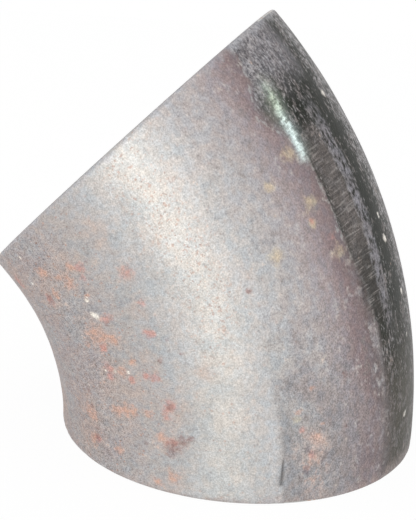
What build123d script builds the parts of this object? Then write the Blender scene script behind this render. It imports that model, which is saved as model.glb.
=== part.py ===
from build123d import *
import os

# Forty-five degree elbow for butt welding, nominal size 32, long radius, in millimetres.
# It is one piece: a length of seamless steel tube bent over a mandrel and faced square
# at both ends, with no straight run beyond the bend.
# The elbow stands on its lower end. The origin is the centre of that end's face, +Z is
# the axis of the tube there, and the tube bends towards -X in the XZ plane.

# Driving dimensions
outside_diameter = 42.4
wall_thickness = 2.6
bend_radius = 48.0
bend_angle = 45.0
outside_rim_break = 0.5
bore_rim_break = 0.3

# Section of the tube, and the line that its centre line is bent about
outside_radius = outside_diameter / 2
bore_radius = outside_radius - wall_thickness
bend_axis = Axis((-bend_radius, 0, 0), (0, -1, 0))


def bent_tube():
    """A ring of the tube's section, carried round the bend: both walls are tori."""
    section = Circle(outside_radius) - Circle(bore_radius)
    return revolve(section, axis=bend_axis, revolution_arc=bend_angle)


def end_faces(tube):
    """The two square-cut faces, each a flat ring across the tube."""
    return tube.faces().filter_by(GeomType.PLANE)


def broken_rims(tube):
    """The saw's sharp corners are taken off, outside first and then in the bore."""
    outside_rims = [edge for end in end_faces(tube) for edge in end.outer_wire().edges()]
    tube = chamfer(outside_rims, outside_rim_break)
    bore_rims = [edge for end in end_faces(tube) for edge in end.inner_wires()[0].edges()]
    return chamfer(bore_rims, bore_rim_break)


elbow_body = broken_rims(bent_tube())

os.makedirs("parts", exist_ok=True)
export_step(elbow_body, "parts/elbow_body.step")
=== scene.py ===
import math

import bmesh
import bpy
import numpy as np
from mathutils import Matrix, Vector, noise


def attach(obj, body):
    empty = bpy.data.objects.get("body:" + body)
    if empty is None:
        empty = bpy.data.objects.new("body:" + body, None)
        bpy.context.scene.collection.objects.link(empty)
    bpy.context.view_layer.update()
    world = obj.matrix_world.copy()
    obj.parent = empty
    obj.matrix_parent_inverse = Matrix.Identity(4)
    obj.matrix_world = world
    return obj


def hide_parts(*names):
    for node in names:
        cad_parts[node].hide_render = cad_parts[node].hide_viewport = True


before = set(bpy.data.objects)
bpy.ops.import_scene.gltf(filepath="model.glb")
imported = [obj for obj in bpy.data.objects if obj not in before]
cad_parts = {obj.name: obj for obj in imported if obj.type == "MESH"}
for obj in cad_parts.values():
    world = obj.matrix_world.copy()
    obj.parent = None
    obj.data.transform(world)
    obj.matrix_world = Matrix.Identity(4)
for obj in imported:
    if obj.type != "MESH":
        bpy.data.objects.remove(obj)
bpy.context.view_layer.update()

# The camera
# It stands close to the elbow, a little to the right of square on to the near flank and
# above it, and is rolled a few degrees, so that the upper mouth just turns out of sight.
camera_azimuth = math.radians(4.78)
camera_elevation = math.radians(15.58)
camera_roll = math.radians(3.24)
camera_distance = 0.1102
camera_aim = Vector((-0.0048, 0.0, 0.0191))
camera_lens = 64.2
film_width = 36.0
nearest_seen = 0.01
farthest_seen = 20.0
centre_to_right = 0.00014
centre_upwards = 0.00057

towards_camera = Vector((
    math.sin(camera_azimuth) * math.cos(camera_elevation),
    -math.cos(camera_azimuth) * math.cos(camera_elevation),
    math.sin(camera_elevation),
))
level_right = Vector((math.cos(camera_azimuth), math.sin(camera_azimuth), 0.0))
level_up = towards_camera.cross(level_right)
rolled_right = level_right * math.cos(camera_roll) + level_up * math.sin(camera_roll)
rolled_up = level_up * math.cos(camera_roll) - level_right * math.sin(camera_roll)
camera_place = camera_aim + towards_camera * camera_distance
picture_centre = camera_aim + rolled_right * centre_to_right + rolled_up * centre_upwards
camera_back = (camera_place - picture_centre).normalized()
camera_right = rolled_up.cross(camera_back).normalized()
camera_up = camera_back.cross(camera_right)

camera_data = bpy.data.cameras.new("camera")
camera_data.lens = camera_lens
camera_data.sensor_width = film_width
camera_data.clip_start = nearest_seen
camera_data.clip_end = farthest_seen
camera = bpy.data.objects.new("camera", camera_data)
bpy.context.scene.collection.objects.link(camera)
camera_turn = Matrix((camera_right, camera_up, camera_back)).transposed().to_4x4()
camera.matrix_world = Matrix.Translation(camera_place) @ camera_turn
bpy.context.scene.camera = camera
bpy.context.scene.view_settings.view_transform = "Standard"

# The bent tube
# A short length of seamless steel tube, bent hot to forty-five degrees over a mandrel,
# which is why the whole part is one piece. Both ends are sawn square and their rims filed.
outside_radius = 0.0212
bore_radius = 0.0186
bend_radius = 0.048
bend_angle = math.radians(45)
outside_rim_break = 0.0005
bore_rim_break = 0.0003
rim_break_reach = 0.0008
rim_roundness = 0.6

steps_round = 400
outside_steps = 124
bore_steps = 36
face_rings = 7
rim_break_steps = 3
end_strip_steps = 4
end_strip_angle = math.radians(1.4)
shortest_strip = math.radians(0.1)
same_angle = 1e-5
same_radius = 2e-6
same_wall = 1e-5
merge_distance = 1e-6

bend_line = {"center": (-bend_radius, 0.0, 0.0), "axis": (0.0, -1.0, 0.0)}
lower_centre = (0.0, 0.0, 0.0)
upper_centre = (bend_radius * (math.cos(bend_angle) - 1), 0.0, bend_radius * math.sin(bend_angle))


def deselect():
    """Nothing is left selected, in object mode or in edit mode."""
    if bpy.context.mode == "EDIT_MESH":
        bpy.ops.mesh.select_all(action="DESELECT")
    else:
        bpy.ops.object.select_all(action="DESELECT")


def on_bend(point):
    """Where a point is: its angle round the bend, and its distance from the tube's centre line."""
    out_from_bend = math.hypot(point.x + bend_radius, point.z)
    angle = math.atan2(point.z, point.x + bend_radius)
    return angle, math.hypot(out_from_bend - bend_radius, point.y)


def select_edges(piece, wanted):
    """In edit mode, select the edges whose two ends make wanted(one, other) true."""
    deselect()
    mesh = bmesh.from_edit_mesh(piece.data)
    for edge in mesh.edges:
        if wanted(*(on_bend(corner.co) for corner in edge.verts)):
            edge.select_set(True)
    bmesh.update_edit_mesh(piece.data)


def on_rims(*rims):
    """A test for edges that lie on one of the rims, each given as an angle and a radius."""
    def wanted(one, other):
        return any(
            abs(one[0] - angle) + abs(other[0] - angle) < same_angle
            and abs(one[1] - radius) + abs(other[1] - radius) < same_radius
            for angle, radius in rims
        )
    return wanted


def in_end_strips(one, other):
    """A test for the walls' lengthwise edges between a filed rim and the rows of the wall."""
    middle = (one[0] + other[0]) / 2
    near_end = min(middle, bend_angle - middle) < end_strip_angle
    lengthwise = abs(one[0] - other[0]) > shortest_strip
    return near_end and lengthwise and all(
        min(abs(end[1] - outside_radius), abs(end[1] - bore_radius)) < same_wall
        for end in (one, other)
    )


def sweep_wall(radius, rows):
    """A circle carried round the bend, with a short first and last stretch for the rims."""
    bpy.ops.mesh.primitive_circle_add(vertices=steps_round, radius=radius)
    bpy.ops.mesh.spin(steps=1, angle=-end_strip_angle, **bend_line)
    bpy.ops.mesh.spin(steps=rows, angle=-(bend_angle - 2 * end_strip_angle), **bend_line)
    bpy.ops.mesh.spin(steps=1, angle=-end_strip_angle, **bend_line)
    deselect()


deselect()
bpy.ops.mesh.primitive_circle_add(vertices=steps_round, radius=outside_radius)
elbow = bpy.context.active_object
elbow.name = elbow.data.name = "elbow_tube"
bpy.ops.object.mode_set(mode="EDIT")
bpy.ops.mesh.select_all(action="SELECT")
bpy.ops.mesh.delete(type="VERT")
sweep_wall(outside_radius, outside_steps)
sweep_wall(bore_radius, bore_steps)

ring_radii = [
    outside_radius + (bore_radius - outside_radius) * ring / face_rings
    for ring in range(face_rings + 1)
]
for end_angle, end_centre in ((0.0, lower_centre), (bend_angle, upper_centre)):
    select_edges(elbow, on_rims((end_angle, outside_radius)))
    for wider, narrower in zip(ring_radii, ring_radii[1:]):
        bpy.ops.mesh.extrude_edges_indiv()
        bpy.ops.transform.resize(value=[narrower / wider] * 3, center_override=end_centre)
bpy.ops.mesh.select_all(action="SELECT")
bpy.ops.mesh.remove_doubles(threshold=merge_distance)
bpy.ops.mesh.normals_make_consistent(inside=False)
for radius, size in ((outside_radius, outside_rim_break), (bore_radius, bore_rim_break)):
    select_edges(elbow, on_rims((0.0, radius), (bend_angle, radius)))
    bpy.ops.mesh.bevel(
        offset=size, segments=rim_break_steps, profile=rim_roundness, clamp_overlap=False)
select_edges(elbow, in_end_strips)
bpy.ops.mesh.subdivide(number_cuts=end_strip_steps - 1)
bpy.ops.mesh.select_all(action="SELECT")
bpy.ops.mesh.normals_make_consistent(inside=False)
bpy.ops.object.mode_set(mode="OBJECT")

# What forming and handling left in the outer wall, in millimetres and degrees. Angles along
# the bend start at the lower end. Angles round the tube start at the outside of the bend, and
# the near flank is at minus ninety.
metre = 1000.0
strip_depth = 0.06
ridge_height = 0.05
score_depth = 0.13
burr_height = 0.03
flat_depth = 0.05
rim_wear_depth = 0.07
dent_seed = 5
dent_count = 46


def bump_at(value, centre, half_width):
    """A smooth rise to one about the centre, for numbers, arrays and shader values alike."""
    return math.e ** (-(((value - centre) / half_width) ** 2))


def smoothed(value, low, high):
    """Zero below low, one above high, and a smooth climb between."""
    step = np.clip((value - low) / (high - low), 0, 1)
    return step * step * (3 - 2 * step)


def near_border(along, climb):
    """Where the dark strip along the outside of the bend starts, on the near side."""
    widening = 3.5 * climb(along, 17, 26)
    bulge = 6.5 * bump_at(along, 38.5, 3.0)
    return -38.0 - widening - bulge


def far_border(along, climb):
    """Where the dark strip ends, on the far side."""
    widening = 5.0 * climb(along, 8, 24)
    bulge = 5.0 * bump_at(along, 15, 4.0)
    return 36.5 + widening + bulge


def ridge_line(along, climb):
    """Where the low ridge in the dark strip runs, with the turn that it takes half way."""
    turn = 1.6 * (1 - climb(along, 20, 30))
    return -28.2 - turn


def crest_line(along):
    """Where the low, glossier crest beside the upper end runs, aslant, with a painted highlight along
    it.
    """
    slant = 0.31 * (41 - along)
    return -39.6 - slant


def score_line(along):
    """Where the short score near the lower end runs, aslant."""
    slant = 0.21 * (5.0 - along)
    return -73.6 - slant


corners = np.empty(len(elbow.data.vertices) * 3)
elbow.data.vertices.foreach_get("co", corners)
corners = corners.reshape(-1, 3) * metre
from_bend_line = np.hypot(corners[:, 0] + bend_radius * metre, corners[:, 2])
turned = np.arctan2(corners[:, 2], corners[:, 0] + bend_radius * metre)
along = np.degrees(turned)
side = from_bend_line - bend_radius * metre
round_tube = np.degrees(np.arctan2(corners[:, 1], side))
distance_out = np.hypot(side, corners[:, 1])
outwards = np.stack([side * np.cos(turned), corners[:, 1], side * np.sin(turned)], 1)
outwards = outwards / distance_out[:, None]
straightened = np.stack([side, corners[:, 1], turned * bend_radius * metre], 1)
mm_per_degree_round = outside_radius * metre * math.radians(1)
mm_per_degree_along = from_bend_line * math.radians(1)


def unevenness(size, start):
    """Smooth random height from minus one to one, with swells of about the given size."""
    scale = np.array(size) if np.ndim(size) else np.array([size] * 3)
    return np.array([noise.noise(Vector(place)) for place in straightened / scale + start])


def reach_from(spot_along, spot_round, lengthwise=1.0):
    """How far each corner is from a place on the outer wall, in millimetres."""
    apart_round = (round_tube - spot_round + 180) % 360 - 180
    apart_along = (along - spot_along) * mm_per_degree_along
    return np.hypot(apart_round * mm_per_degree_round, apart_along * lengthwise)


# Each swell has its height, its size and the place in the noise where it starts
swells = [
    (0.09, 12.0, 3.1),
    (0.016, (1.3, 1.3, 15.0), 11.7),
    (0.013, 2.8, 23.9),
    (0.009, 1.3, 41.3),
]
bore_swells = [
    (0.04, 9.0, 8.8),
    (0.012, (1.6, 1.6, 18.0), 31.1),
]
relief = sum(height * unevenness(size, start) for height, size, start in swells)
bore_relief = sum(height * unevenness(size, start) for height, size, start in bore_swells)

ragged = 0.9 * unevenness(size=2.2, start=57.7)
past_near_border = round_tube - near_border(along, smoothed)
short_of_far_border = far_border(along, smoothed) - round_tube
into_strip = np.minimum(past_near_border, short_of_far_border) * mm_per_degree_round + ragged
relief -= strip_depth * smoothed(into_strip, -0.4, 0.9)

crest_length = smoothed(along, 30, 34) * (1 - smoothed(along, 40, 43))
relief += ridge_height * bump_at(round_tube, crest_line(along), 2.2) * crest_length
ridge_length = smoothed(along, 8, 18) * (1 - smoothed(along, 34, 40))
wavering_ridge = ridge_line(along, smoothed) + 0.8 * unevenness(size=6.0, start=5.3)
relief += ridge_height * bump_at(round_tube, wavering_ridge, 2.4) * ridge_length

score_length = smoothed(along, 1.8, 2.8) * (1 - smoothed(along, 5.2, 6.4))
wavering_score = score_line(along) + 0.3 * unevenness(size=4.0, start=77.1)
relief -= score_depth * bump_at(round_tube, wavering_score, 0.75) * score_length
relief += burr_height * bump_at(round_tube, wavering_score - 1.9, 1.3) * score_length
flat_width = smoothed(round_tube, -74.0, -71.5) * (1 - smoothed(round_tube, -70.0, -58.0))
relief -= flat_depth * flat_width * (1 - smoothed(along, 5.0, 14.0))

dents = np.random.default_rng(dent_seed)
for dent in range(dent_count):
    dent_along = dents.uniform(2, 43)
    dent_round = dents.uniform(-180, 180)
    width = dents.uniform(0.6, 2.0)
    depth = dents.uniform(0.012, 0.045)
    lengthwise = dents.uniform(0.5, 1.0)
    relief -= depth * bump_at(reach_from(dent_along, dent_round, lengthwise), 0, width)

from_end = np.minimum(turned, bend_angle - turned) * from_bend_line
rim_wear = smoothed(unevenness(size=1.7, start=90.5), 0.15, 0.7)
relief -= rim_wear_depth * rim_wear * (1 - smoothed(from_end, 0.3, 1.3))
below_outside = outside_radius * metre - distance_out
above_bore = distance_out - bore_radius * metre
on_outside = (1 - smoothed(below_outside, 0.2, 0.55)) * smoothed(from_end, 0.0, 0.12)
on_bore = (1 - smoothed(above_bore, 0.0, 0.06)) * smoothed(from_end, 0.3, 1.2)
moved = corners + outwards * (relief * on_outside + bore_relief * on_bore)[:, None]
elbow.data.vertices.foreach_set("co", (moved / metre).ravel())

# Rust, stains and chips on the near flank, each with its angle along the bend, its angle
# round the tube and its radius. Those of the far side are scattered at random.
orange_spots = [
    (38.1, -126.9, 1.0), (34.6, -119.2, 1.1), (31.5, -116.0, 0.5), (25.3, -119.6, 1.6),
    (24.6, -118.0, 1.3), (24.0, -114.2, 1.0), (23.6, -125.0, 0.6), (20.3, -111.0, 0.6),
    (18.6, -115.6, 0.9), (12.2, -120.5, 1.0), (12.5, -117.5, 1.2), (12.1, -115.0, 0.8),
    (12.1, -109.8, 0.8), (10.8, -133.6, 1.3), (10.2, -131.5, 0.9), (8.6, -106.8, 1.0),
    (5.2, -133.0, 0.9), (4.8, -122.0, 0.9), (2.7, -104.0, 0.8), (1.5, -109.0, 0.7),
    (36.6, -115.5, 0.8), (36.0, -122.0, 0.7), (33.6, -127.5, 0.8), (21.3, -83.0, 0.4),
    (12.6, -63.5, 0.40), (8.6, -61.5, 0.35), (10.4, -68.5, 0.40), (4.0, -67.0, 0.70),
    (7.4, -64.0, 0.60),
]
red_spots = [
    (35.75, -112.5, 0.8), (34.4, -113.8, 0.6), (32.0, -100.6, 1.0), (27.4, -113.4, 0.8),
    (23.8, -102.8, 0.8), (22.9, -119.2, 0.7), (27.9, -101.0, 0.5), (19.5, -120.0, 0.9),
    (18.2, -120.2, 0.7), (18.0, -107.9, 0.6), (17.4, -105.5, 0.7), (17.4, -113.2, 0.6),
    (13.2, -103.2, 1.0), (11.6, -105.0, 0.6), (38.2, -144.5, 1.1), (33.0, -132.0, 0.9),
    (8.0, -104.0, 0.8), (5.5, -131.0, 0.7), (25.8, -45.2, 0.6), (27.9, -49.3, 0.4),
    (8.4, -67.8, 0.45), (5.4, -65.2, 0.55), (12.6, -104.6, 0.6),
]
dark_spots = [
    (7.2, -103.8, 1.1), (8.3, -101.0, 0.8), (8.6, -98.5, 0.5), (6.2, -105.0, 0.5),
    (13.1, -103.1, 0.5), (19.75, -102.5, 0.45), (24.6, -73.6, 0.40), (33.2, -131.2, 0.6),
    (5.8, -131.2, 0.5), (7.6, -131.0, 0.35), (11.9, -132.0, 0.4), (7.4, -112.4, 0.35),
    (22.5, -98.7, 0.32), (20.2, -96.0, 0.30), (12.9, -52.9, 0.5),
    (7.6, -54.2, 0.35), (36.1, -109.5, 0.3), (26.4, -114.6, 0.3), (15.0, -132.0, 0.4),
]
ochre_spots = [
    (34.3, -46.0, 1.0), (32.8, -56.7, 0.7), (29.3, -47.1, 1.1), (27.6, -49.5, 0.6),
    (24.0, -44.2, 0.9), (26.6, -63.0, 0.9), (9.6, -69.0, 0.5),
]
cream_chips = [
    (28.2, -116.6, 0.45), (28.6, -117.4, 0.40), (29.6, -117.4, 0.25), (30.9, -116.7, 0.30),
    (31.3, -116.2, 0.20), (42.0, -131.5, 0.30), (37.0, -135.5, 0.25), (18.9, -118.2, 0.25),
    (18.6, -113.6, 0.25), (22.2, -19.5, 0.55), (24.4, -18.5, 0.45), (36.4, -16.2, 0.50),
    (5.3, -24.5, 0.55), (12.5, -18.0, 0.35), (16.6, -16.0, 0.40), (19.0, -121.5, 0.2),
]
film_spots = [
    (36.8, -116.5, 3.0), (34.5, -119.5, 2.0), (25.2, -119.0, 2.6), (24.2, -114.6, 1.8),
    (16.3, -118.0, 4.2), (12.3, -118.5, 3.2), (12.3, -103.0, 2.8), (10.5, -133.0, 3.0),
    (8.0, -104.0, 2.4), (5.0, -136.0, 3.4), (34.0, -131.0, 3.2), (38.5, -143.0, 3.2),
    (18.9, -118.0, 2.4), (31.9, -100.6, 1.5), (2.6, -104.5, 1.8), (36.0, -126.0, 2.0),
    (6.0, -64.5, 2.2), (19.5, -108.0, 2.4), (27.7, -102.5, 1.6), (38.5, -102.5, 2.0),
    (17.0, -91.0, 1.2),
]
far_side_seed = 12
lowest_spot = 1
highest_spot = 44
far_side = np.random.default_rng(far_side_seed)


def scattered(count, round_low, round_high, smallest, largest):
    """Spots at random places round the tube between two angles. Each call draws the next ones."""
    return [
        (far_side.uniform(lowest_spot, highest_spot), far_side.uniform(round_low, round_high),
         far_side.uniform(smallest, largest))
        for spot in range(count)
    ]


def spotted(name, spots):
    """An attribute that rises to one at each spot, over the spot's own radius."""
    field = np.zeros(len(corners))
    for spot_along, spot_round, radius in spots:
        field = np.maximum(field, bump_at(reach_from(spot_along, spot_round), 0, radius))
    attribute = elbow.data.attributes.new(name, "FLOAT", "POINT")
    attribute.data.foreach_set("value", field)


spotted("orange_rust", orange_spots + scattered(
    34, round_low=85, round_high=205, smallest=0.5, largest=1.3))
spotted("red_rust", red_spots + scattered(
    26, round_low=60, round_high=205, smallest=0.4, largest=0.9))
spotted("dark_stain", dark_spots + scattered(
    12, round_low=60, round_high=200, smallest=0.4, largest=1.1))
spotted("cream_chips", cream_chips + scattered(
    14, round_low=0, round_high=150, smallest=0.2, largest=0.5))
spotted("rust_film", film_spots + scattered(
    22, round_low=85, round_high=205, smallest=1.5, largest=4.0))
spotted("ochre_film", ochre_spots)

# The sockets of a colour Mix node
mix_share = 0
mix_under = 6
mix_over = 7
mix_result = 2


class Value:
    """A number that varies over a surface. A sum written with it adds its Math nodes."""

    def __init__(self, shading, socket):
        self.shading = shading
        self.socket = socket

    def sum_of(self, operation, *terms):
        return self.shading.node("ShaderNodeMath", {"operation": operation}, dict(enumerate(terms)))

    def __add__(self, other):
        return self.sum_of("ADD", self, other)

    def __sub__(self, other):
        return self.sum_of("SUBTRACT", self, other)

    def __rsub__(self, other):
        return self.sum_of("SUBTRACT", other, self)

    def __mul__(self, other):
        return self.sum_of("MULTIPLY", self, other)

    def __truediv__(self, other):
        return self.sum_of("DIVIDE", self, other)

    def __pow__(self, other):
        return self.sum_of("POWER", self, other)

    def __rpow__(self, other):
        return self.sum_of("POWER", other, self)

    def __neg__(self):
        return self.sum_of("MULTIPLY", self, -1.0)

    def __abs__(self):
        return self.sum_of("ABSOLUTE", self)

    def least(self, other):
        return self.sum_of("MINIMUM", self, other)

    def most(self, other):
        return self.sum_of("MAXIMUM", self, other)

    __radd__ = __add__
    __rmul__ = __mul__


class Shading:
    """The nodes of one material, or of the world. Every one of them is made by its node method."""

    def __init__(self, owner):
        owner.use_nodes = True
        self.tree = owner.node_tree
        self.tree.nodes.clear()

    def node(self, kind, settings, inputs, output=0):
        """A node with its settings, a ramp's stops among them, then its sockets. Gives one output."""
        made = self.tree.nodes.new(kind)
        for name, value in settings.items():
            if name == "stops":
                ramp = made.color_ramp
                while len(ramp.elements) < len(value):
                    ramp.elements.new(1.0)
                for element, (position, colour) in zip(ramp.elements, value):
                    element.position = position
                    element.color = (*colour, 1.0)
            else:
                setattr(made, name, value)
        for name, value in inputs.items():
            socket = made.inputs[name]
            if isinstance(value, Value):
                self.tree.links.new(value.socket, socket)
            elif isinstance(socket.default_value, float):
                socket.default_value = value
            else:
                socket.default_value = (*value, 1.0)[:len(socket.default_value)]
        return Value(self, made.outputs[output]) if made.outputs else None

    def seen_directly(self):
        """One for rays that come from the camera, or by way of a mirror or glass, and else zero."""
        kinds = ("Is Camera Ray", "Is Glossy Ray", "Is Transmission Ray")
        camera_ray, glossy_ray, transmission_ray = (
            self.node("ShaderNodeLightPath", {}, {}, kind) for kind in kinds)
        return camera_ray.most(glossy_ray).most(transmission_ray)


class Finish(Shading):
    """A material for the tube, with the tube's own coordinates as if it were straight."""

    def __init__(self, name):
        self.material = bpy.data.materials.new(name)
        super().__init__(self.material)
        place = self.node("ShaderNodeTexCoord", {}, {}, "Object")
        x, y, z = (
            self.node("ShaderNodeSeparateXYZ", {}, {0: place}, axis) * metre for axis in "XYZ")
        across = x + bend_radius * metre
        turned = z.sum_of("ARCTAN2", z, across)
        self.crosswise = y
        self.side = (across ** 2 + z ** 2) ** 0.5 - bend_radius * metre
        self.along = turned * math.degrees(1)
        self.length = turned * bend_radius * metre
        self.round = y.sum_of("ARCTAN2", y, self.side) * math.degrees(1)
        self.out = (self.side ** 2 + y ** 2) ** 0.5

    def vector(self, round_scale=1.0, length_scale=1.0):
        """The straightened place in millimetres, stretched where a pattern runs lengthwise."""
        return self.node("ShaderNodeCombineXYZ", {}, {
            "X": self.side * round_scale,
            "Y": self.crosswise * round_scale,
            "Z": self.length * length_scale,
        })

    def mottle(self, size, detail, start, rough=0.5, vector=None):
        """Noise about a half, with blots of about the given size in millimetres."""
        return self.node("ShaderNodeTexNoise", {"noise_dimensions": "4D"}, {
            "Vector": vector or self.vector(), "W": start, "Scale": 1 / size,
            "Detail": detail, "Roughness": rough})

    def dots(self, spacing, radius, share, start):
        """Round flecks, scattered. Spacing and radius are in millimetres, and a share of one is all."""
        full_within = 0.6
        soft_choice = 0.05
        cell = self.node("ShaderNodeTexVoronoi", {"voronoi_dimensions": "4D", "feature": "F1"}, {
            "Vector": self.vector(), "W": start, "Scale": 1 / spacing})
        colour_of_cell = Value(self, cell.socket.node.outputs["Color"])
        chance = self.node("ShaderNodeSeparateColor", {}, {0: colour_of_cell})
        fleck = self.step(cell, radius / spacing, radius / spacing * full_within)
        return fleck * self.step(chance, 1 - share, 1 - share + soft_choice)

    def attribute(self, name):
        """A value that the mesh carries at its corners."""
        return self.node("ShaderNodeAttribute", {"attribute_name": name}, {}, "Fac")

    def step(self, value, low, high):
        """Zero at low, one at high, and a smooth climb between. Low may be the larger of the two."""
        return self.node("ShaderNodeMapRange", {"interpolation_type": "SMOOTHSTEP"}, {
            "Value": value, "From Min": low, "From Max": high})

    def lay(self, under, over, where, strength=1.0, blend="MIX"):
        """One colour laid over another where a value says, and no more strongly than strength."""
        share = where * strength if strength < 1 else where
        return self.node("ShaderNodeMix", {"data_type": "RGBA", "blend_type": blend}, {
            mix_share: share, mix_under: under, mix_over: over}, mix_result)

    def ramp(self, value, low, high, stops):
        """A colour that changes with a value, from stops given on the value's own scale."""
        placed = [((place - low) / (high - low), colour) for place, colour in stops]
        return self.node("ShaderNodeValToRGB", {"stops": placed}, {0: (value - low) / (high - low)})

    def bump(self, height):
        """A height in millimetres, shown in the shading alone."""
        return self.node("ShaderNodeBump", {}, {
            "Height": height, "Distance": 1 / metre, "Strength": 1.0})

    def finish(self, inputs):
        """The surface's shader, with what varies over it linked and the rest set."""
        surface = self.node("ShaderNodeBsdfPrincipled", {}, inputs)
        self.node("ShaderNodeOutputMaterial", {}, {"Surface": surface})
        return self.material


# The outer skin is the scale that hot forming left. Its patterns come first: blots from wide to
# fine, then streaks, wrinkles and worm-like lines.
skin = Finish("mill_scale_skin")
patch = skin.mottle(size=3.0, detail=3, start=8.0)
cloud = skin.mottle(size=1.3, detail=3, start=4.0)
warmth = skin.mottle(size=0.9, detail=3, start=9.0)
fleck = skin.mottle(size=0.5, detail=2, start=6.0)
crumbs = skin.mottle(size=0.5, detail=4, start=17.0, rough=0.75)
speckle = skin.mottle(size=0.26, detail=3, start=13.0, rough=0.6, vector=skin.vector(1.0, 0.8))
grain = skin.mottle(size=0.14, detail=1, start=5.0)
streaks = skin.mottle(size=1.0, detail=3, start=7.0, vector=skin.vector(1.2, 0.07))
wrinkles = skin.mottle(size=0.15, detail=1.5, start=11.0, vector=skin.vector(0.09, 1.0))
worms = skin.mottle(size=0.32, detail=2, start=15.0)
wander = patch - 0.5
waver = cloud - 0.5
flutter = fleck - 0.5

# Where things are: off_middle is how far round from the outside of the bend, on either side
off_middle = abs(skin.round)
wandering_round = skin.round + wander * 6.0
wandering_along = skin.along + wander * 4.0
on_flank = skin.step(off_middle, 48, 76)
towards_outside = skin.step(off_middle, 78, 66)
towards_inside = skin.step(off_middle, 106, 130) * 0.8
foot = skin.step(skin.along + wander * 5.0, 18, 6)
right_foot = skin.step(skin.along, 26, 12) * towards_outside
near_lower_end = skin.step(wandering_along, 24, 3)

# The flanks are bluish grey, brown to the inside of the bend and mauve towards the outside.
# Each stop is an angle round the tube and the colour there.
round_stops = [
    (-170, (0.39, 0.335, 0.325)), (-140, (0.405, 0.355, 0.35)), (-124, (0.415, 0.375, 0.375)),
    (-111, (0.44, 0.415, 0.41)), (-100, (0.44, 0.435, 0.44)), (-85, (0.46, 0.45, 0.45)),
    (-68, (0.44, 0.43, 0.435)), (-60, (0.425, 0.40, 0.405)), (-53, (0.37, 0.325, 0.335)),
    (-46, (0.262, 0.205, 0.213)), (-38, (0.175, 0.148, 0.150)), (38, (0.17, 0.14, 0.145)),
    (47, (0.26, 0.205, 0.21)), (55, (0.36, 0.31, 0.31)), (70, (0.44, 0.43, 0.43)),
    (100, (0.45, 0.44, 0.445)), (125, (0.415, 0.375, 0.375)), (170, (0.39, 0.335, 0.325)),
]
painted_highlight_cream = (0.63, 0.612, 0.56)
cool_grey = (0.385, 0.41, 0.425)
pale_blot = (0.56, 0.54, 0.53)
dark_blot = (0.25, 0.23, 0.23)
mauve_blot = (0.30, 0.265, 0.275)
painted_flat_shade = (0.24, 0.235, 0.24)
shaded_blue = (0.22, 0.23, 0.255)
lit_blue = (0.50, 0.53, 0.56)

flank = skin.ramp(skin.round + wander * 8.0 + waver * 5.0, -180, 180, round_stops)
# Painted highlight: a cream band down the middle of each flank, where the front lamp's highlight falls.
# The same band also places the worm lines and more specks.
painted_highlight_band = bump_at(off_middle, 90 - 6 * skin.step(skin.along, 8, 26), 8.0)
flank = skin.lay(flank, painted_highlight_cream, painted_highlight_band, strength=0.36)
flank = skin.lay(flank, cool_grey, skin.step(patch, 0.40, 0.62) * on_flank, strength=0.4)
speckled = 0.80 + towards_inside + 0.40 * right_foot
blotted = 0.20 + 0.25 * towards_inside + 0.25 * towards_outside + 0.30 * right_foot
blots = 0.6 * cloud + 0.4 * fleck
flank = skin.lay(flank, pale_blot, skin.step(blots, 0.51, 0.68) * blotted)
flank = skin.lay(flank, dark_blot, skin.step(blots, 0.49, 0.34) * blotted)
mauve_blots = skin.step(patch, 0.50, 0.36) * skin.step(off_middle, 76, 66) * (0.4 + 0.6 * right_foot)
flank = skin.lay(flank, mauve_blot, mauve_blots, strength=0.5)

# Painted shade on a flat beside the score, which turns from the light. Its edge is sharp at the end and
# fades upwards.
edge_fade = skin.step(skin.along, 5, 14)
from_edge = skin.round + 73.4 + wander * 4.0 * skin.step(skin.along, 5, 9)
past_edge = skin.step(from_edge, -0.6 - 2.5 * edge_fade, 0.6 + 2.0 * edge_fade)
painted_shade_on_flat = past_edge * skin.step(skin.round, -38, -56) * near_lower_end
flank = skin.lay(flank, painted_flat_shade, painted_shade_on_flat, strength=0.46)
# More painted shade, bluish, close to the edge towards the lower end
in_shade = past_edge * skin.step(skin.round, -68, -72) * skin.step(wandering_along, 14, 8)
flank = skin.lay(flank, shaded_blue, in_shade, strength=0.3)
# A painted highlight along the lit side of the score's edge
lit_edge = bump_at(skin.round, -76, 2.0) * skin.step(skin.along, 18, 8)
flank = skin.lay(flank, lit_blue, lit_edge, strength=0.3)

# The dark strip along the outside of the bend, where the scale is thick and glossy. It has a
# ragged edge over most of the bend and fades into brown near the lower end.
strip_black = (0.018, 0.020, 0.015)
strip_brown = (0.066, 0.061, 0.048)
bulge_grey = (0.130, 0.128, 0.118)
corner_grey = (0.195, 0.186, 0.20)
strip_mottle = (0.150, 0.136, 0.135)
corner_mottle = (0.235, 0.225, 0.24)
pale_fleck = (0.46, 0.45, 0.46)
strip_pit = (0.012, 0.013, 0.012)
corner_pit = (0.05, 0.045, 0.05)
flaked_edge = (0.42, 0.42, 0.41)
pale_seam = (0.35, 0.33, 0.34)

past_near_border = skin.round - near_border(skin.along, skin.step)
short_of_far_border = far_border(skin.along, skin.step) - skin.round
into_dark = past_near_border.least(short_of_far_border) * mm_per_degree_round
into_dark = into_dark + waver * 1.6 + flutter * 0.8
bulge = bump_at(skin.along, 37.0, 4.0) * skin.step(skin.round, -40.5, -43.5)
dark = skin.step(into_dark, -0.1 - 1.2 * foot - 0.5 * bulge, 0.35 + 2.6 * foot + 1.2 * bulge)
corner = skin.step(wandering_along, 38.0, 41.5) * skin.step(off_middle + wander * 6.0, 15, 23)
black_band = bump_at(off_middle + wander * 4.0, 21.5, 3.0) * skin.step(skin.along, 12, 18)
middle_patch = bump_at(skin.along, 20, 5) * skin.step(off_middle, 28, 33)
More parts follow.
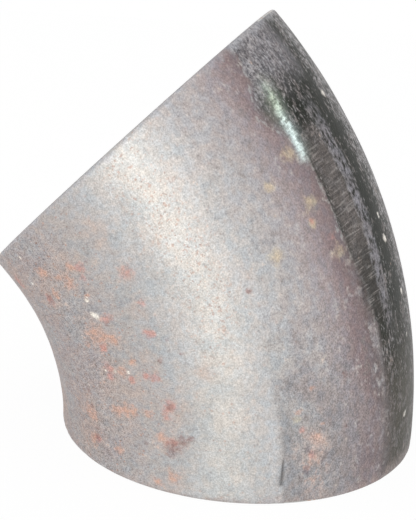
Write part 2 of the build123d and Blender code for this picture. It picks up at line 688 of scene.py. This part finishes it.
# Painted sheen: the strip is painted greyer and more flecked near the outermost line of the bend, where
# it is seen edge-on.
painted_edge_sheen = skin.step(off_middle, 19, 11)
greyness = 0.5 + 0.3 * corner - 0.6 * middle_patch - 0.3 * black_band
greyness = greyness + 0.35 * painted_edge_sheen * (1 - foot)
mottling = 0.40 * cloud + 0.30 * fleck + 0.30 * speckle
mottled = skin.step(mottling, 0.565 - 0.16 * greyness, 0.655 - 0.16 * greyness)
paleness = speckle + 0.2 * cloud + 0.05 * corner + 0.06 * painted_edge_sheen - 0.06 * black_band
pale_flecks = skin.step(paleness, 0.64, 0.78) * (0.45 + 0.05 * corner + 0.45 * painted_edge_sheen)
pits = skin.step(speckle, 0.49, 0.34) * (1 - 0.5 * foot) * (1 - 0.4 * bulge)

strip = skin.lay(strip_black, strip_brown, foot)
strip = skin.lay(strip, bulge_grey, bulge, strength=0.8)
strip = skin.lay(strip, corner_grey, corner, strength=0.8)
strip = skin.lay(strip, skin.lay(strip_mottle, corner_mottle, corner), mottled, strength=0.85)
strip = skin.lay(strip, pale_fleck, pale_flecks * (1 - 0.7 * foot))
strip = skin.lay(strip, skin.lay(strip_pit, corner_pit, corner), pits, strength=0.75)
colour = skin.lay(flank, strip, dark)
strip_edge = bump_at(into_dark, 0.05, 0.2) * skin.step(fleck, 0.42, 0.58) * (1 - foot)
colour = skin.lay(colour, flaked_edge, strip_edge, strength=0.65)
seam = bump_at(skin.round, -38.6 + wander * 3.0, 1.0) * bump_at(skin.along, 14, 8)
colour = skin.lay(colour, pale_seam, seam * skin.step(cloud, 0.36, 0.58), strength=0.55)

# The wrinkles that the bend's outer skin drew into, the ridge, and the crest, which is glossier and has
# a painted highlight along it
wrinkle_brown = (0.150, 0.134, 0.130)
wrinkle_dark = (0.058, 0.053, 0.049)
painted_wrinkle_highlight = (0.30, 0.28, 0.27)
painted_wrinkle_shade = (0.030, 0.027, 0.027)
ridge_grey = (0.245, 0.236, 0.26)
ridge_flank = (0.40, 0.39, 0.41)
crest_highlight_blue = (0.78, 0.92, 0.90)
crest_highlight_green = (0.74, 0.88, 0.72)

wrinkled = skin.step(wandering_round, -42, -38.0) * skin.step(wandering_round, -29, -33)
wrinkled = wrinkled * skin.step(skin.along + wander * 5.0, 14, 19)
wrinkled = wrinkled * skin.step(skin.along + wander * 5.0, 37, 32)
wrinkle_base = skin.lay(wrinkle_brown, wrinkle_dark, skin.step(skin.along + wander * 6.0, 26, 20))
colour = skin.lay(colour, wrinkle_base, wrinkled, strength=0.75)
# Painted highlight on the wrinkles' tops and painted shade in their grooves, from the same noise as
# their bump
colour = skin.lay(colour, painted_wrinkle_highlight, skin.step(wrinkles, 0.52, 0.70) * wrinkled, strength=0.55)
colour = skin.lay(colour, painted_wrinkle_shade, skin.step(wrinkles, 0.48, 0.34) * wrinkled, strength=0.5)

from_ridge = skin.round - ridge_line(skin.along, skin.step) + wander * 3.0 + waver * 3.0
ridge_place = skin.step(skin.along + wander * 6.0, 12, 20) * skin.step(skin.along, 39, 33)
ridge = skin.step(abs(from_ridge), 3.6, 0.8) * skin.step(0.6 * fleck + 0.4 * speckle, 0.38, 0.58)
colour = skin.lay(colour, ridge_grey, ridge * ridge_place, strength=0.85)
ridge_edge = bump_at(from_ridge, -2.3, 0.55) * skin.step(fleck, 0.40, 0.60)
colour = skin.lay(colour, ridge_flank, ridge_edge * ridge_place, strength=0.4)

from_crest = skin.round - crest_line(skin.along) + wander * 2.0
crest_place = skin.step(skin.along, 32.0, 34.0) * skin.step(skin.along, 42, 38.5)
crest_gloss_and_highlight = bump_at(from_crest + waver * 1.5, 0.0, 1.6) * crest_place
crest_gloss_and_highlight = crest_gloss_and_highlight * (0.55 + 0.45 * skin.step(skin.along, 40, 36.5))
crest_gloss_and_highlight = crest_gloss_and_highlight * (0.45 + 0.55 * skin.step(0.5 * wrinkles + 0.5 * fleck, 0.40, 0.54))
crest_gloss_and_highlight = crest_gloss_and_highlight.most(bump_at(from_crest, 0.3, 2.8) * crest_place * 0.22)
# Painted highlight: a pale blue-green streak along the crest, where a lamp's reflection would lie
painted_crest_highlight = skin.lay(crest_highlight_blue, crest_highlight_green, skin.step(skin.along, 36, 39))
colour = skin.lay(colour, painted_crest_highlight, crest_gloss_and_highlight)

# Rust: soft spots with a thin film round them, then fine specks over both flanks
film_tan = (0.49, 0.39, 0.345)
ochre_tan = (0.55, 0.475, 0.35)
orange_brown = (0.58, 0.36, 0.28)
red_brown = (0.52, 0.28, 0.25)
stain_brown = (0.25, 0.165, 0.16)
worm_brown = (0.40, 0.28, 0.24)
cluster_dark = (0.19, 0.16, 0.18)
cluster_pink = (0.53, 0.40, 0.36)
smudge_grey = (0.17, 0.165, 0.17)
speck_orange = (0.47, 0.29, 0.23)
speck_brown = (0.26, 0.17, 0.15)
speck_black = (0.12, 0.10, 0.10)
chip_cream = (0.80, 0.76, 0.70)

spot_edge = (0.45 * cloud + 0.55 * fleck - 0.5) * 2.6
film = skin.step(skin.attribute("rust_film") + waver * 1.2 + flutter * 0.6, 0.15, 1.1)
ochre = skin.step(skin.attribute("ochre_film") + spot_edge, 0.2, 1.1)
orange = skin.step(skin.attribute("orange_rust") + spot_edge, 0.30, 1.2)
red = skin.step(skin.attribute("red_rust") + spot_edge, 0.30, 1.2)
stain = skin.step(skin.attribute("dark_stain") + spot_edge * 0.6, 0.30, 0.9)
chips = skin.step(skin.attribute("cream_chips") + spot_edge * 0.6, 0.35, 0.8)
crumbled = skin.step(crumbs, 0.56, 0.44)
colour = skin.lay(colour, film_tan, film, strength=0.42)
colour = skin.lay(colour, ochre_tan, ochre, strength=0.7)
colour = skin.lay(colour, orange_brown, orange, strength=0.75)
colour = skin.lay(colour, red_brown, red, strength=0.75)
colour = skin.lay(colour, stain_brown, stain * (0.35 + 0.4 * crumbled))

worm_lines = skin.step(worms, 0.57, 0.65) * painted_highlight_band * skin.step(skin.along, 14, 26)
colour = skin.lay(colour, worm_brown, worm_lines, strength=0.65)
clumps = 0.45 * crumbs + 0.55 * cloud
cluster = bump_at(skin.along + wander * 5.0, 4.3, 4.0) * bump_at(skin.round + wander * 8.0, -64.5, 5.0)
colour = skin.lay(colour, cluster_dark, skin.step(clumps, 0.51, 0.42) * cluster, strength=0.65)
colour = skin.lay(colour, cluster_pink, skin.step(clumps, 0.505, 0.57) * cluster, strength=0.75)
smudge = bump_at(skin.along + wander * 6.0, 12.8, 1.3) * bump_at(wandering_round, -70.8, 2.3)
colour = skin.lay(colour, smudge_grey, smudge * crumbled, strength=0.5)

speck_place = on_flank * (0.25 + 0.75 * skin.step(off_middle, 98, 112) + 0.4 * painted_highlight_band)
specks = skin.dots(spacing=0.55, radius=0.19, share=0.6, start=1.0) * speck_place
fine_specks = skin.dots(spacing=0.42, radius=0.13, share=0.5, start=2.0) * speck_place
dark_specks = skin.dots(spacing=0.75, radius=0.14, share=0.4, start=5.0)
dark_specks = dark_specks * (0.3 + 0.7 * skin.step(speckled, 0.8, 1.4))
colour = skin.lay(colour, speck_orange, specks, strength=0.55)
colour = skin.lay(colour, speck_brown, fine_specks, strength=0.6)
colour = skin.lay(colour, speck_black, dark_specks, strength=0.6)
colour = skin.lay(colour, chip_cream, chips, strength=0.9)
rusty = ((orange.most(red) * 0.8).most(specks * 0.5)).most(film * 0.5)

# The score near the lower end, the rubbed ends, and the fine grain of the scale
score_black = (0.09, 0.085, 0.085)
rubbed_brown = (0.44, 0.37, 0.355)
rubbed_steel = (0.50, 0.50, 0.53)
cool_cast = (0.475, 0.50, 0.525)
warm_cast = (0.525, 0.495, 0.475)
grain_height = 0.012
fleck_height = 0.022
streak_height = 0.03
strip_grain_height = 0.03
wrinkle_height = 0.06
speck_depth = 0.02

from_score = skin.round - score_line(skin.along) + wander * 0.8
score_width = 0.35 + 0.35 * skin.step(skin.along, 5.0, 2.5)
score = bump_at(from_score, 0.0, score_width)
score = score * skin.step(skin.along, 1.9, 2.5) * skin.step(skin.along, 6.2, 4.6)
crease = bump_at(skin.round, -73.6 + wander * 2.0, 0.8) * bump_at(skin.along, 9.5, 4.0)
crease = crease * skin.step(fleck, 0.35, 0.6)
colour = skin.lay(colour, score_black, score.most(crease * 0.35), strength=0.8)
from_either_end = skin.length.least(bend_angle * bend_radius * metre - skin.length)
rubbed = skin.step(from_either_end + waver * 2.0 + flutter, 0.75 + 0.9 * dark * foot, 0.1)
rubbed_colour = skin.lay(rubbed_brown, rubbed_steel, skin.step(skin.along, 10, 30))
colour = skin.lay(colour, rubbed_colour, rubbed, strength=0.45)
cast = skin.lay(cool_cast, warm_cast, skin.step(warmth, 0.36, 0.62))
colour = skin.lay(colour, cast, 0.65 - 0.15 * painted_highlight_band - 0.3 * dark, blend="OVERLAY")
grain_shade = ((grain - 0.5) * 1.3 + flutter * 0.3) * speckled.most(1.2 * dark)
colour = skin.lay(colour, 1.0 + grain_shade, 1.0, blend="MULTIPLY")

height = (grain - 0.5) * grain_height + flutter * fleck_height + (streaks - 0.5) * streak_height
height = height + (speckle - 0.5) * dark * strip_grain_height
height = height + (wrinkles - 0.5) * wrinkled * wrinkle_height - dark_specks * speck_depth
skin_material = skin.finish({
    "Base Color": colour,
    "Metallic": 0.55 - 0.45 * dark - 0.4 * rusty + 0.4 * crest_gloss_and_highlight,
    "Roughness": 0.56 - 0.12 * dark + 0.2 * rusty + 0.10 * waver - 0.25 * crest_gloss_and_highlight,
    "Specular IOR Level": 0.12,
    "Normal": skin.bump(height),
})

# The bore keeps a thin dark oxide, drawn out lengthwise by the mandrel, with some rust on it
bore_dark = (0.135, 0.125, 0.12)
bore_pale = (0.22, 0.20, 0.19)
bore_rust = (0.30, 0.15, 0.095)
bore_streak_height = 0.06
bore_fleck_height = 0.05

bore = Finish("bore_oxide")
bore_cloud = bore.mottle(size=3.0, detail=4, start=1.0)
bore_fleck = bore.mottle(size=0.6, detail=3, start=2.0)
bore_streaks = bore.mottle(size=1.0, detail=3, start=3.0, vector=bore.vector(1.0, 0.06))
bore_rusty = bore.step(bore_fleck + 0.6 * bore_cloud, 0.86, 1.0)
bore_colour = bore.lay(bore_dark, bore_pale, bore.step(bore_cloud, 0.35, 0.65))
bore_colour = bore.lay(bore_colour, bore_rust, bore_rusty, strength=0.7)
bore_height = (bore_streaks - 0.5) * bore_streak_height + (bore_fleck - 0.5) * bore_fleck_height
bore_material = bore.finish({
    "Base Color": bore_colour,
    "Metallic": 0.3,
    "Roughness": 0.5 + 0.2 * (bore_fleck - 0.5),
    "Normal": bore.bump(bore_height),
})

# The faced ends are bare steel with the tool's fine rings, and rust has begun on them
end_dull = (0.46, 0.45, 0.44)
end_bright = (0.56, 0.56, 0.55)
end_rust = (0.42, 0.23, 0.15)
ring_height = 0.02
end_fleck_height = 0.03

faced = Finish("faced_end")
end_cloud = faced.mottle(size=1.8, detail=4, start=1.0)
end_fleck = faced.mottle(size=0.4, detail=3, start=2.0)
from_centre = faced.node("ShaderNodeCombineXYZ", {}, {"X": faced.out})
rings = faced.node("ShaderNodeTexWave", {"bands_direction": "X", "wave_type": "BANDS"}, {
    "Vector": from_centre, "Scale": 1.6, "Distortion": 1.2, "Detail": 1.0})
end_rusty = faced.step(end_fleck + 0.7 * end_cloud, 0.90, 1.02)
end_colour = faced.lay(end_dull, end_bright, faced.step(end_cloud, 0.35, 0.7))
end_colour = faced.lay(end_colour, end_rust, end_rusty, strength=0.8)
faced_material = faced.finish({
    "Base Color": end_colour,
    "Metallic": 0.8,
    "Roughness": 0.36 + 0.15 * (end_fleck - 0.5) + 0.1 * rings,
    "Normal": faced.bump(rings * ring_height + (end_fleck - 0.5) * end_fleck_height),
})

finishes = [skin_material, bore_material, faced_material]
widest_bore = bore_radius + bore_rim_break / 3
widest_face = outside_radius - outside_rim_break / 3
smooth_below = math.radians(40)
for finish in finishes:
    elbow.data.materials.append(finish)
for face in elbow.data.polygons:
    angle, distance = on_bend(face.center)
    at_end = min(angle, bend_angle - angle) * bend_radius < rim_break_reach
    if distance < widest_bore:
        face.material_index = finishes.index(bore_material)
    elif at_end and distance < widest_face:
        face.material_index = finishes.index(faced_material)
deselect()
elbow.select_set(True)
bpy.context.view_layer.objects.active = elbow
bpy.ops.object.shade_smooth_by_angle(angle=smooth_below)
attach(elbow, "root")
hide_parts("elbow_body")

# The floor and the light
# A pale seamless floor, one soft lamp in front of the elbow, and an even white room.
floor_width = 6.0
paper_grey = (0.86, 0.86, 0.86)
plain_white = (1.0, 1.0, 1.0)
floor_glow = 1.02
floor_glow_share = 0.93
room_glow = 0.8
lamp_place = Vector((0.0, -0.6, 0.08))
lamp_target = Vector((-0.005, 0.0, 0.02))
lamp_width = 0.10
lamp_height = 0.16
lamp_power = 1.6
lamp_colour = (1.0, 0.97, 0.91)

deselect()
bpy.ops.mesh.primitive_plane_add(size=floor_width)
floor = bpy.context.active_object
floor.name = floor.data.name = "floor"
floor_material = bpy.data.materials.new("pale_floor")
floor_shading = Shading(floor_material)
paper = floor_shading.node("ShaderNodeBsdfDiffuse", {}, {"Color": paper_grey})
white = floor_shading.node("ShaderNodeEmission", {}, {"Color": plain_white, "Strength": floor_glow})
floor_surface = floor_shading.node("ShaderNodeMixShader", {}, {
    0: floor_shading.seen_directly() * floor_glow_share, 1: paper, 2: white})
floor_shading.node("ShaderNodeOutputMaterial", {}, {"Surface": floor_surface})
floor.data.materials.append(floor_material)

world = bpy.data.worlds.new("room")
bpy.context.scene.world = world
room = Shading(world)
room_strength = room_glow + (1 - room_glow) * room.seen_directly()
room_light = room.node("ShaderNodeBackground", {}, {
    "Color": plain_white, "Strength": room_strength})
room.node("ShaderNodeOutputWorld", {}, {"Surface": room_light})

lamp_data = bpy.data.lights.new("front_lamp", "AREA")
lamp_data.shape = "RECTANGLE"
lamp_data.size = lamp_width
lamp_data.size_y = lamp_height
lamp_data.energy = lamp_power
lamp_data.color = lamp_colour
lamp = bpy.data.objects.new("front_lamp", lamp_data)
bpy.context.scene.collection.objects.link(lamp)
lamp.location = lamp_place
lamp.rotation_euler = (lamp_target - lamp_place).to_track_quat("-Z", "Y").to_euler()
